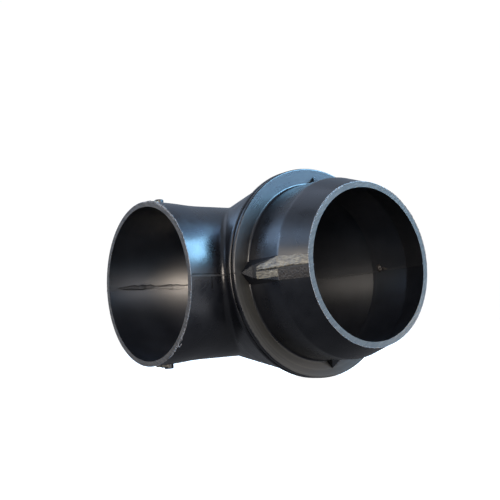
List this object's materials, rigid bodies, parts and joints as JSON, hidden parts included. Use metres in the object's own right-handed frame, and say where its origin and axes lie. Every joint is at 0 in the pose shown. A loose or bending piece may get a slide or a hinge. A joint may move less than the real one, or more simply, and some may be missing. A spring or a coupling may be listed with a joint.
{
  "type": "duct elbow",
  "caption": "Right-angle moulded plastic duct elbow: plain socket branch, rounded hood, double-flanged collar and tapered hose spigot with root gussets.",
  "frame": {"origin": "where the spigot axis meets the branch axis, on the weld plane", "axes": "+X along the spigot axis, out of the spigot's mouth; -Y along the branch axis, out of the socket's mouth; +Z square to the weld plane that holds both axes"},
  "size_m": [0.1263, 0.1205, 0.103],
  "materials": {
    "shell_plastic": "black moulded polypropylene, semi-gloss, lightly scuffed",
    "weld_plastic": "black polypropylene weld bead, rough where it was trimmed"
  },
  "bodies": {
    "root": {"elbow_shell_upper": "shell_plastic", "elbow_shell_lower": "shell_plastic", "spigot_shell_upper": "shell_plastic", "spigot_shell_lower": "shell_plastic", "flange_weld_ring": "weld_plastic", "inner_bend_weld": "weld_plastic", "outer_bend_weld": "weld_plastic", "spigot_weld_branch_side": "weld_plastic", "spigot_weld_far_side": "weld_plastic"}
  },
  "joints": []
}
